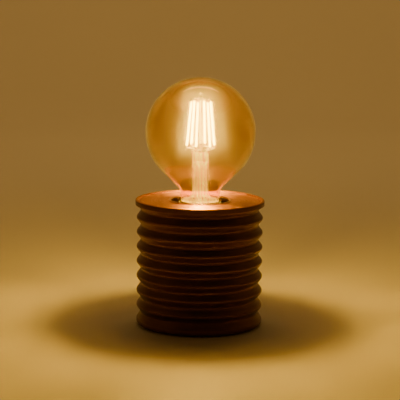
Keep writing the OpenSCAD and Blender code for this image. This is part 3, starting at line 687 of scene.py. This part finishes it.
def circuit_finish(name, mask, track):
    """Solder mask over a board, with slightly raised copper tracks running up and across it."""
    material, tree, shader = new_material(name)
    where = add_node(tree, "ShaderNodeTexCoord").outputs["Object"]
    place = add_node(tree, "ShaderNodeSeparateXYZ", {"Vector": where}).outputs
    turned = add_node(tree, "ShaderNodeCombineXYZ", {"X": place["X"], "Y": place["Z"]}).outputs[0]
    layout = {"Vector": turned, "Scale": 420.0, "Mortar Size": 0.06}
    layout |= {"Color1": (0, 0, 0, 1), "Color2": (0.1, 0.1, 0.1, 1), "Mortar": (1, 1, 1, 1)}
    runs = add_node(tree, "ShaderNodeTexBrick", layout).outputs["Color"]
    uneven = use_effect(tree, mottling, Fineness=160.0).outputs["Mask"]
    tone = mixed(tree, runs, mixed(tree, uneven, tuple(0.8 * c for c in mask), mask), track)
    bump = add_node(tree, "ShaderNodeBump", {"Height": runs, "Strength": 0.5, "Distance": 0.03 * MM})
    tree.links.new(tone, shader.inputs["Base Color"])
    tree.links.new(between(tree, uneven, 0.22, 0.34), shader.inputs["Roughness"])
    tree.links.new(bump.outputs["Normal"], shader.inputs["Normal"])
    return material


chip_epoxy = worked_finish("chip_epoxy", (0.018, 0.018, 0.020), (0.030, 0.030, 0.033), 0, 0.55, 1700, 0.04)
coat(circuit_finish("green_board", (0.03, 0.20, 0.07), (0.09, 0.34, 0.12)), "driver_board")
coat(circuit_finish("blue_board", (0.02, 0.07, 0.25), (0.06, 0.16, 0.42)), "radio_board")
shrunk_plastic = worked_finish(
    "shrunk_sleeve", (0.022, 0.022, 0.030), (0.040, 0.040, 0.052), 0, 0.24, 500, 0.02
)
ferrite = worked_finish("sintered_ferrite", (0.045, 0.045, 0.045), (0.075, 0.073, 0.07), 0, 0.6, 800, 0.08)
blue_lacquer = worked_finish("resistor_lacquer", (0.20, 0.36, 0.44), (0.28, 0.46, 0.54), 0, 0.28, 900, 0.02)
shield_tin = worked_finish("tinned_shield", (0.54, 0.55, 0.57), (0.68, 0.69, 0.71), 1, 0.3, 1000, 0.02)
coat(shrunk_plastic, "bulk_capacitor")
coat(ferrite, "choke")
coat(chip_epoxy, "bridge_rectifier", "driver_chip")
coat(blue_lacquer, "fuse_resistor")
coat(shield_tin, "radio_shield")
coat(tinned, "board_leads")

# ---- neck collar ----
# A dark moulded collar is cemented round the neck's lower end and joins the glass to the cap.
# It sits below the plate, in the shadow of the hole.
collar_plastic = worked_finish(
    "collar_plastic", (0.034, 0.029, 0.026), (0.052, 0.046, 0.041), 0, 0.40, 1200, 0.04,
    worn=(0.09, 0.08, 0.07), dust=0.25,
)
collar_outline = [(13.1, 101.1), (14.0, 101.1), (14.3, 101.4), (14.3, 102.2), (18.4, 103.4), (18.7, 103.8)]
collar_outline += [(18.7, 105.2), (18.45, 105.45), (18.45, 106.05), (18.7, 106.3)]
collar_outline += arc(18.15, 107.95, 0.55, 0, 180)
collar_outline += [(17.6, 104.1), (10.6, 104.1), (10.6, 103.1), (13.1, 103.1)]
collar = lathe("neck_collar_moulded", collar_outline)
fit(collar, collar_plastic, "bulb", "dark_collar", "neck_collar")

# ---- glass stem ----
# A flared glass tube sealed into the neck. Its top is pinched flat while soft, and the pinch grips
# the lead wires. The thin pumping tube inside it is melted shut at its lower end.


def blown_glass(name, tint, shade, haze, painted_glow=0.0):
    """Clear glass whose thin bloom of dust softens what is seen through it. Light passes it tinted.
    A strength above nought adds a painted glow: the glass itself shines along fine drawn streaks, brightest
    towards both ends, in place of the filaments' light seen in the stem."""
    material, tree, shader = new_material(name)
    where = add_node(tree, "ShaderNodeTexCoord").outputs["Object"]
    specks = stretched(tree, noise(tree, where, 2600, 1), 0.50, 0.66)
    bloom = between(tree, noise(tree, where, 26, 3), 0.55, 1.0)
    rough = calc(tree, "MULTIPLY", calc(tree, "MULTIPLY", specks, bloom), haze)
    tree.links.new(rough, shader.inputs["Roughness"])
    relief = {"Height": noise(tree, where, 45, 1), "Strength": 0.1, "Distance": 0.1 * MM}
    ripple = add_node(tree, "ShaderNodeBump", relief)
    tree.links.new(ripple.outputs["Normal"], shader.inputs["Normal"])
    shader.inputs["Base Color"].default_value = (*tint, 1)
    shader.inputs["Transmission Weight"].default_value = 1.0
    shader.inputs["IOR"].default_value = 1.5
    # Painted glow: emission along streaks drawn out up the stem, stronger near its lower and upper ends. It
    # stands in for light, not for anything in the glass.
    if painted_glow:
        place = add_node(tree, "ShaderNodeSeparateXYZ", {"Vector": where}).outputs
        along = calc(tree, "MULTIPLY", place["Z"], 0.04)
        pulled = {"X": place["X"], "Y": place["Y"], "Z": along}
        drawn = add_node(tree, "ShaderNodeCombineXYZ", pulled).outputs[0]
        streaks = stretched(tree, noise(tree, drawn, 700, 3), 0.42, 0.66)
        low_end = stretched(tree, place["Z"], 124 * MM, 113 * MM)
        high_end = stretched(tree, place["Z"], 133 * MM, 146 * MM)
        ends = calc(tree, "ADD", low_end, high_end)
        bright = calc(tree, "MULTIPLY", streaks, between(tree, ends, 0.35, 1.0))
        glow = mixed(tree, bright, (0.04, 0.016, 0.002), (1.0, 0.62, 0.08))
        tree.links.new(glow, shader.inputs["Emission Color"])
        shader.inputs["Emission Strength"].default_value = painted_glow
    passing = add_node(tree, "ShaderNodeBsdfTransparent", {"Color": (*shade, 1)})
    shadow = add_node(tree, "ShaderNodeLightPath").outputs["Is Shadow Ray"]
    either = add_node(tree, "ShaderNodeMixShader", {0: shadow, 1: shader.outputs[0], 2: passing.outputs[0]})
    tree.links.new(either.outputs[0], tree.nodes["Material Output"].inputs["Surface"])
    return material


lead_glass = blown_glass("lead_glass", (0.99, 0.98, 0.95), (0.96, 0.95, 0.92), 0.25)
# The stem's glass is given a painted glow of drawn streaks. The pumping tube, post and globe have none.
drawn_glass_painted_glow = blown_glass("drawn_glass_painted_glow", (0.99, 0.98, 0.95), (0.96, 0.95, 0.92), 0.10, painted_glow=1.6)


def oval_ring(z, half_x, half_y, squareness, steps=96):
    """A ring between round (2) and nearly square (6), for the pinched end of the stem."""
    ring = []
    for j in range(steps):
        c, s = math.cos(math.tau * j / steps), math.sin(math.tau * j / steps)
        reach = (abs(c) ** squareness + abs(s) ** squareness) ** (-1 / squareness)
        ring.append((half_x * reach * c, half_y * reach * s, z))
    return ring


stem_r, stem_wall, seal_z = 7.0, 1.1, 111.0
pinch_low, pinch_high, pinch_top, pinch_half = 137.5, 144.0, 151.5, 2.2
flare = [(16.55, seal_z - 1.4), (16.55, seal_z - 0.3)] + arc(stem_r + 7, seal_z + 7, 7, 268, 180, 12)
outer = [oval_ring(z, r, r, 2) for r, z in flare] + [oval_ring(pinch_low, stem_r, stem_r, 2)]
for k in range(1, 9):
    t = k / 8
    ease = t * t * (3 - 2 * t)
    z = pinch_low + t * (pinch_high - pinch_low)
    outer.append(oval_ring(z, stem_r, stem_r + ease * (pinch_half - stem_r), 2 + 2 * ease))
for a in range(0, 91, 15):
    rise, swell = math.sin(math.radians(a)), math.cos(math.radians(a))
    outer.append(oval_ring(pinch_top - 1 + rise, stem_r - 1 + swell, pinch_half - 1 + swell, 4))
outer.append([(0, 0, pinch_top)] * 96)
bore = stem_r - stem_wall
inner = [[(0, 0, pinch_high - 0.5)] * 96]
for k in range(7, -1, -1):
    t = k / 8
    ease = t * t * (3 - 2 * t)
    inner.append(oval_ring(pinch_low + t * (pinch_high - pinch_low) - 0.4, bore, bore * (1 - ease) + 0.25, 2))
inner += [oval_ring(z, r, r, 2) for r, z in arc(stem_r + 7, seal_z + 6.7, 8.1, 180, 262, 12)]
fit(skin("stem_blown", outer + inner, True, 60), drawn_glass_painted_glow, "bulb", "clear_glass", "stem_glass")
pump_low, pump_high, pump_r, pump_bore = 109.5, 137.4, 2.0, 1.1
pump = [(0, pump_low - 2)] + arc(0, pump_low, pump_r, -75, 0, 6)
pump += [(pump_r, pump_high), (pump_bore, pump_high), (pump_bore, pump_low + 0.6)]
pump += arc(0, pump_low + 0.5, pump_bore, 0, -75, 5) + [(0, pump_low - 0.6)]
fit(lathe("pumping_tube", pump, 48), lead_glass, "bulb", "clear_glass", "exhaust_tube")

# ---- centre post ----
# A glass rod melted into the pinch carries the upper ring of the filaments, with a button at its
# end into which the ring's spokes are pressed.
post = [(0, 148.6), (1.2, 148.6), (1.2, 199.0)] + arc(0, 201.0, 1.9, -52, 80, 12) + [(0, 202.9)]
fit(lathe("centre_post", post, 48), lead_glass, "bulb", "clear_glass", "glass_post")

# ---- lead, feed and ring wires ----
# Two tinned wires come up through the pinch. Each ends in a half ring that feeds three filaments,
# and one ring at the top joins their upper ends.
lead_at, feed_r, feed_z, top_ring_r, top_ring_z = 3.8, 12.3, 155.3, 8.4, 198.1
fan_first, filament_count = 12, 6
lead_routes = [[(x, 0, z) for z in (108.6, 120, 136, 153.4)] for x in (-lead_at, lead_at)]
fit(wires("stem_leads", lead_routes, 0.4), tinned, "bulb", "tinned_wire", "lead_wires")
feed_routes = []
for side, start in ((1, 0), (-1, 180)):
    climb = ((lead_at, 153.9), (lead_at + 1.2, 154.4), (9, feed_z - 0.2), (feed_r - 0.2, feed_z))
    feed_routes.append([(side * x, 0, z) for x, z in climb])
    turns = [math.radians(start + a) for a in range(-66, 91, 12)]
    feed_routes.append([(feed_r * math.cos(a), feed_r * math.sin(a), feed_z) for a in turns])
fit(wires("feed_rings", feed_routes, 0.38), tinned, "bulb", "tinned_wire", "feed_wires")
upper = wires("upper_ring", [plain_ring(top_ring_r, top_ring_z, 24)], 0.38, ring=True)
spoke_turns = [math.radians(fan_first + 30 + a) for a in (0, 120, 240)]
spokes = [[(r * math.cos(a), r * math.sin(a), top_ring_z) for r in (1.3, 5.0, 8.3)] for a in spoke_turns]
fit(upper, tinned, "bulb", "tinned_wire", "top_wires")
fit(wires("upper_spokes", spokes, 0.38), tinned, "bulb", "tinned_wire")

# ---- filaments ----
# Six glass strips set with tiny chips in series and dipped in yellow phosphor. A stamped metal tab
# at each end is welded to the rings, and together they lean in slightly towards the top.


def lit_phosphor():
    """Lumpy yellow phosphor, lit from within."""
    material, tree, shader = new_material("lit_phosphor")
    where = add_node(tree, "ShaderNodeTexCoord").outputs["Object"]
    lumps = noise(tree, where, 900, 3)
    tone = mixed(tree, lumps, (0.86, 0.52, 0.12), (0.95, 0.64, 0.20))
    tree.links.new(tone, shader.inputs["Base Color"])
    bump = add_node(tree, "ShaderNodeBump", {"Height": lumps, "Strength": 0.5, "Distance": 0.08 * MM})
    tree.links.new(bump.outputs["Normal"], shader.inputs["Normal"])
    shader.inputs["Roughness"].default_value = 0.5
    shader.inputs["Emission Color"].default_value = (1.0, 0.74, 0.24, 1)
    shader.inputs["Emission Strength"].default_value = 1050.0
    return material


fan_low_r, fan_top_r, fan_low_z, fan_top_z = 12.3, 8.4, 156.5, 197.0
tab_long, rod_r, chips, rows_a_chip, chip_swell = 2.4, 1.05, 12, 4, 0.06
outline_rows = chips * rows_a_chip
fan_lean = math.atan2(fan_low_r - fan_top_r, fan_top_z - fan_low_z)
fan_long = (fan_top_z - fan_low_z) / math.cos(fan_lean)
phosphor = lit_phosphor()
tabs = []
for k in range(filament_count):
    stand = (
        Matrix.Rotation(math.radians(fan_first + 60 * k), 4, "Z")
        @ Matrix.Translation((fan_low_r * MM, 0, fan_low_z * MM))
        @ Matrix.Rotation(-fan_lean, 4, "Y")
    )
    low, high = tab_long, fan_long - tab_long
    rod = [(0, low - rod_r)] + arc(0, low, rod_r, -75, 0, 5)
    for row in range(1, outline_rows):
        dip = chip_swell * (1 - math.cos(math.tau * row / rows_a_chip))
        rod.append((rod_r - dip, low + (high - low) * row / outline_rows))
    rod += arc(0, high, rod_r, 0, 75, 5) + [(0, high + rod_r)]
    strip = lathe(f"filament_rod_{k + 1}", rod, 28)
    strip.data.transform(stand)
    fit(strip, phosphor, "bulb", "lit_filament", f"filament_{k + 1}")
    for foot, head in ((-0.75, tab_long - 1.1), (fan_long - tab_long + 1.1, fan_long + 0.2)):
        plate_mesh = bmesh.new()
        bmesh.ops.create_cube(plate_mesh, size=1)
        size = Matrix.Diagonal((0.4 * MM, 1.4 * MM, (head - foot) * MM, 1))
        place = Matrix.Translation((0, 0, (head + foot) / 2 * MM))
        bmesh.ops.transform(plate_mesh, matrix=stand @ place @ size, verts=plate_mesh.verts)
        bmesh.ops.bevel(plate_mesh, geom=plate_mesh.edges, offset=0.1 * MM, segments=2, affect="EDGES")
        tab_mesh = bpy.data.meshes.new("tab")
        plate_mesh.to_mesh(tab_mesh)
        plate_mesh.free()
        tabs.append(tab_mesh)
joined = bmesh.new()
for tab_mesh in tabs:
    joined.from_mesh(tab_mesh)
    bpy.data.meshes.remove(tab_mesh)
tab_set = bpy.data.meshes.new("welded_tabs")
joined.to_mesh(tab_set)
joined.free()
welded = bpy.data.objects.new("welded_tabs", tab_set)
bpy.context.collection.objects.link(welded)
fit(welded, tinned, "bulb", "tinned_wire", "filament_tabs")

# ---- glass globe ----
# One piece of lightly amber glass blown in a mould: a sphere that runs into a cone and then the
# straight neck. The wall is thin, and its lower edge is cemented in the collar.
globe_r, globe_z, wall, cone_angle = 47.5, 169.3, 0.9, 43.5
neck_r, neck_round, neck_z, neck_end = 17.5, 8.0, 116.98, 104.2


def globe_face(inset):
    """One face of the globe's wall from the neck's end to the top, set in from the outer face."""
    face = [(neck_r - inset, neck_end), (neck_r - inset, 110.0), (neck_r - inset, neck_z)]
    face += arc(neck_r + neck_round, neck_z, neck_round + inset, 176, 90 + cone_angle, 10)
    return face + arc(0, globe_z, globe_r - inset, cone_angle - 90, 89, 72) + [(0, globe_z + globe_r - inset)]


amber_glass = blown_glass("amber_glass", (0.97, 0.71, 0.13), (0.97, 0.85, 0.50), 0.24)
globe = lathe("globe_blown", globe_face(0) + globe_face(wall)[::-1], 192, 60)
fit(globe, amber_glass, "bulb", "amber_glass", "glass_globe")
